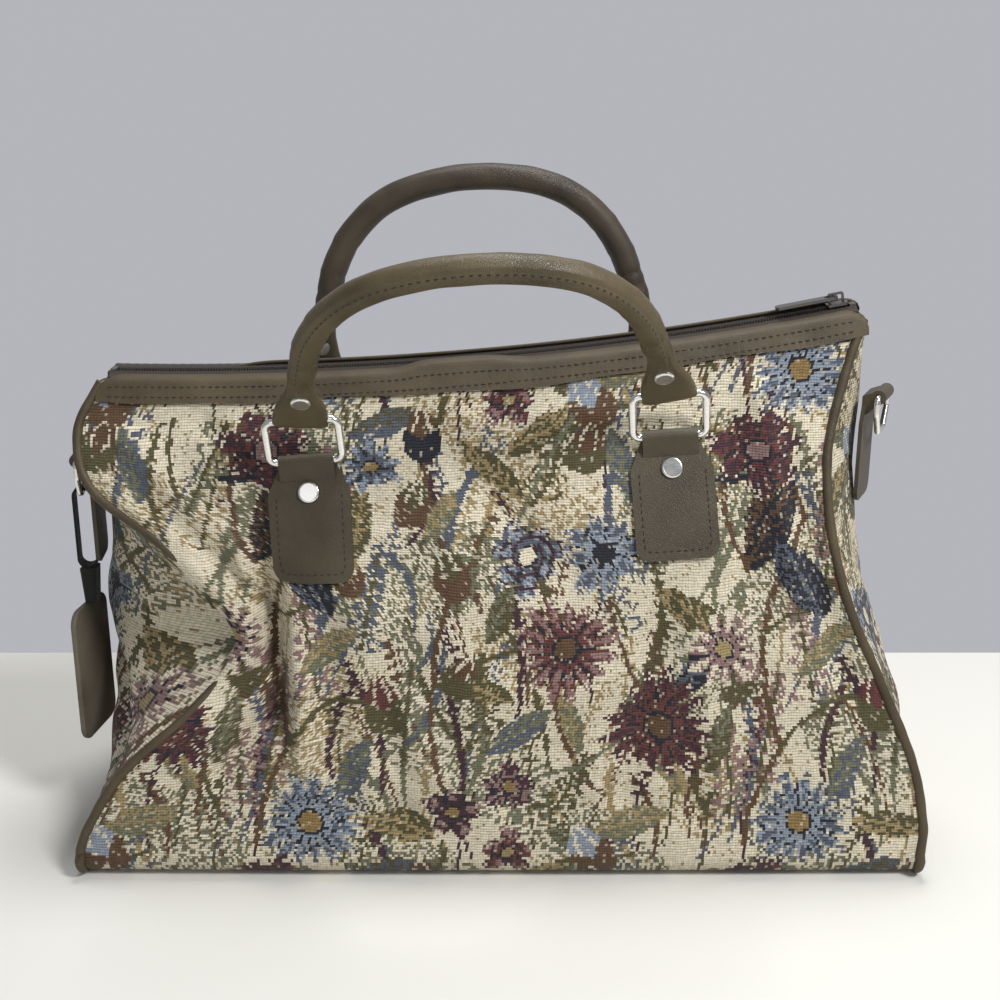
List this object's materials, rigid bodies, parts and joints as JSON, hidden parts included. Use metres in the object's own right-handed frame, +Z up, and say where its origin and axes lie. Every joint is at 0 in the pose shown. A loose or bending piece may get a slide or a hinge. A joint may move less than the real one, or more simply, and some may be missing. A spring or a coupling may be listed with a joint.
{
  "type": "tapestry travel bag",
  "caption": "Small travel bag in cream floral tapestry with olive-brown rolled handles, piping, patches and a zip across the mouth.",
  "frame": {"origin": "middle of the base, on the surface that the bag stands on", "axes": "+X to the right seen from the front, +Y to the back, +Z up"},
  "size_m": [0.4498, 0.2103, 0.3515],
  "materials": {
    "tapestry": "woven, matt",
    "leatherette": "satin",
    "zip_tape": "matt",
    "zip_coil": "satin",
    "dark_metal": "satin",
    "nickel": "polished",
    "black_strap": "matt",
    "tag_leatherette": "satin",
    "board": "matt"
  },
  "bodies": {
    "bag": {"body_wrap": "tapestry", "end_panel_left": "tapestry", "end_panel_right": "tapestry", "piping_left": "leatherette", "piping_right": "leatherette", "band_front": "leatherette", "band_back": "leatherette", "zip_tape_front": "zip_tape", "zip_tape_back": "zip_tape", "zip_chain_front": "zip_coil", "zip_chain_back": "zip_coil", "zip_stop_left": "dark_metal", "zip_stop_right": "dark_metal", "front_patch_left": "leatherette", "front_patch_right": "leatherette", "back_patch_left": "leatherette", "back_patch_right": "leatherette", "front_patch_rivet_left": "nickel", "front_patch_rivet_right": "nickel", "back_patch_rivet_left": "nickel", "back_patch_rivet_right": "nickel", "end_tab_left": "leatherette", "end_tab_right": "leatherette", "base_board": "board"},
    "front_rings": {"front_ring_left": "nickel", "front_ring_right": "nickel"},
    "front_handle": {"front_handle": "leatherette", "front_handle_rivet_left": "nickel", "front_handle_rivet_right": "nickel"},
    "back_rings": {"back_ring_left": "nickel", "back_ring_right": "nickel"},
    "back_handle": {"back_handle": "leatherette", "back_handle_rivet_left": "nickel", "back_handle_rivet_right": "nickel"},
    "d_ring_left": {"d_ring_left": "nickel"},
    "d_ring_right": {"d_ring_right": "nickel"},
    "luggage_tag": {"tag_strap": "black_strap", "tag_keeper": "black_strap", "luggage_tag": "tag_leatherette"},
    "zip_slider": {"zip_slider": "dark_metal"},
    "zip_pull": {"zip_pull": "dark_metal"}
  },
  "joints": [
    {"name": "front_rings_tip", "type": "hinge", "parent": "bag", "child": "front_rings", "pos_m": [-0.00625, -0.03701, 0.2162], "axis": [0.9974, 0, 0.0717], "range_deg": [-15, 60]},
    {"name": "front_handle_swing", "type": "hinge", "parent": "front_rings", "child": "front_handle", "pos_m": [-0.00784, -0.04091, 0.2383], "axis": [0.9974, 0, 0.0717], "range_deg": [-40, 58]},
    {"name": "back_rings_tip", "type": "hinge", "parent": "bag", "child": "back_rings", "pos_m": [-0.00625, 0.03701, 0.2162], "axis": [-0.9974, 0, -0.0717], "range_deg": [-8, 60]},
    {"name": "back_handle_swing", "type": "hinge", "parent": "back_rings", "child": "back_handle", "pos_m": [-0.00786, 0.03857, 0.23859], "axis": [-0.9974, 0, -0.0717], "range_deg": [-4, 95]},
    {"name": "d_ring_left_swing", "type": "hinge", "parent": "bag", "child": "d_ring_left", "pos_m": [-0.2229, -0.004, 0.203], "axis": [-0.1045, 0.9945, 0], "range_deg": [0, 70]},
    {"name": "d_ring_right_swing", "type": "hinge", "parent": "bag", "child": "d_ring_right", "pos_m": [0.1977, -0.0129, 0.239], "axis": [-0.4384, -0.8988, 0], "range_deg": [0, 150]},
    {"name": "tag_swing", "type": "hinge", "parent": "d_ring_left", "child": "luggage_tag", "pos_m": [-0.2229, -0.004, 0.184], "axis": [-0.1045, 0.9945, 0], "range_deg": [0, 70]},
    {"name": "zip_travel", "type": "hinge", "parent": "bag", "child": "zip_slider", "pos_m": [-0.16684, 0, 2.03201], "axis": [0, 1, 0], "range_deg": [0, 11.89]},
    {"name": "pull_flip", "type": "hinge", "parent": "zip_slider", "child": "zip_pull", "pos_m": [0.1729, 0, 0.28706], "axis": [0, 1, 0], "range_deg": [0, 125]}
  ]
}
